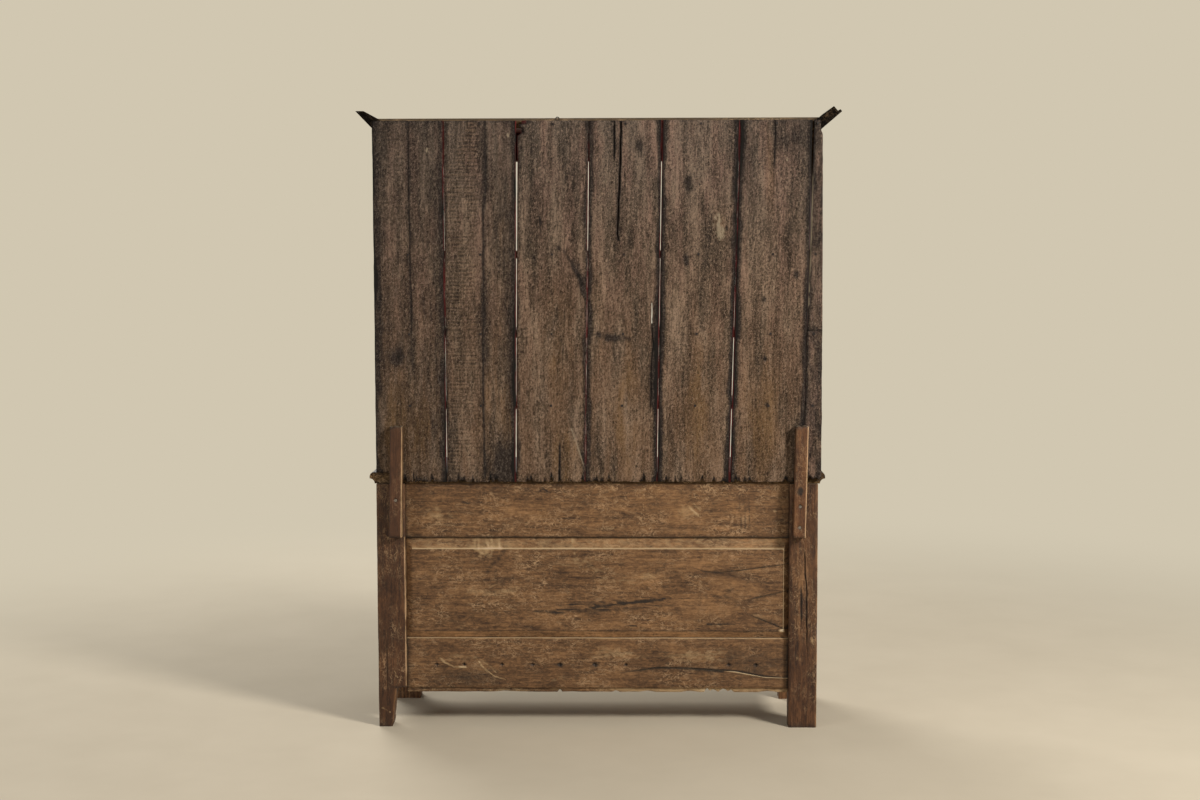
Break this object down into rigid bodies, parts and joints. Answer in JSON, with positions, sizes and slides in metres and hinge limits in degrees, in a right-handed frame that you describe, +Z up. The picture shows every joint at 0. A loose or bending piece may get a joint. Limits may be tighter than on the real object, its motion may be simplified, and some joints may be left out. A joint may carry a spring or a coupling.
{
  "type": "china cabinet",
  "caption": "Two-part country china cabinet: a framed buffet with drawers and panelled doors under an open plate rack backed with rough boards.",
  "frame": {"origin": "on the floor, under the middle of the cabinet", "axes": "+X to the right seen from the front, +Y to the back, +Z up"},
  "size_m": [1.528, 0.485, 1.9648],
  "materials": {
    "board_wood": "weathered, rough sawn",
    "frame_wood": "worn, waxed",
    "painted_wood": "worn dark red paint",
    "inner_wood": "bare",
    "batten_wood": "stained, planed",
    "knob_wood": "turned, polished by use",
    "iron": "dull wrought iron"
  },
  "bodies": {
    "cabinet": {"back_board_1": "board_wood", "back_board_2": "board_wood", "back_board_3": "board_wood", "back_board_4": "board_wood", "back_board_5": "board_wood", "back_board_6": "board_wood", "back_bottom_rail": "frame_wood", "back_panel": "frame_wood", "back_post_left": "frame_wood", "back_post_right": "frame_wood", "back_strip": "board_wood", "back_top_rail": "frame_wood", "batten_left": "batten_wood", "batten_right": "batten_wood", "batten_screws": "iron", "board_nails": "iron", "buffet_top": "frame_wood", "cleats": "inner_wood", "cornice_bead": "frame_wood", "cornice_front": "frame_wood", "cornice_left": "frame_wood", "cornice_right": "frame_wood", "cupboard_shelf": "inner_wood", "door_mullion": "frame_wood", "drawer_divider": "frame_wood", "drawer_runners": "inner_wood", "floor_boards": "inner_wood", "frieze": "painted_wood", "front_apron": "frame_wood", "front_middle_rail": "frame_wood", "front_post_left": "frame_wood", "front_post_right": "frame_wood", "front_top_rail": "frame_wood", "post_hinges": "iron", "rack_shelf_high": "painted_wood", "rack_shelf_low": "painted_wood", "rack_shelf_middle": "painted_wood", "rack_side_left": "painted_wood", "rack_side_right": "painted_wood", "rack_top_board": "painted_wood", "side_panel_left": "frame_wood", "side_panel_right": "frame_wood", "side_rails_left": "frame_wood", "side_rails_right": "frame_wood", "wall_eye": "iron"},
    "left_door": {"left_door_frame": "frame_wood", "left_door_hinges": "iron", "left_door_panel": "frame_wood"},
    "left_drawer": {"left_drawer_box": "inner_wood", "left_drawer_front": "frame_wood", "left_drawer_knobs": "knob_wood"},
    "left_latch": {"left_latch": "knob_wood"},
    "right_door": {"right_door_frame": "frame_wood", "right_door_hinges": "iron", "right_door_panel": "frame_wood"},
    "right_drawer": {"right_drawer_box": "inner_wood", "right_drawer_front": "frame_wood", "right_drawer_knobs": "knob_wood"},
    "right_latch": {"right_latch": "knob_wood"}
  },
  "joints": [
    {"name": "left_door_swing", "type": "hinge", "parent": "cabinet", "child": "left_door", "pos_m": [-0.609, -0.2165, 0.3925], "axis": [0, 0, -1], "range_deg": [0, 115]},
    {"name": "left_latch_turn", "type": "hinge", "parent": "left_door", "child": "left_latch", "pos_m": [-0.077, -0.21, 0.3925], "axis": [0, -1, 0], "range_deg": [0, 90]},
    {"name": "left_drawer_slide", "type": "slide", "parent": "cabinet", "child": "left_drawer", "axis": [0, -1, 0], "range_m": [0, 0.28]},
    {"name": "right_door_swing", "type": "hinge", "parent": "cabinet", "child": "right_door", "pos_m": [0.609, -0.2165, 0.3925], "axis": [0, 0, 1], "range_deg": [0, 115]},
    {"name": "right_latch_turn", "type": "hinge", "parent": "right_door", "child": "right_latch", "pos_m": [0.077, -0.21, 0.3925], "axis": [0, 1, 0], "range_deg": [0, 90]},
    {"name": "right_drawer_slide", "type": "slide", "parent": "cabinet", "child": "right_drawer", "axis": [0, -1, 0], "range_m": [0, 0.28]}
  ]
}
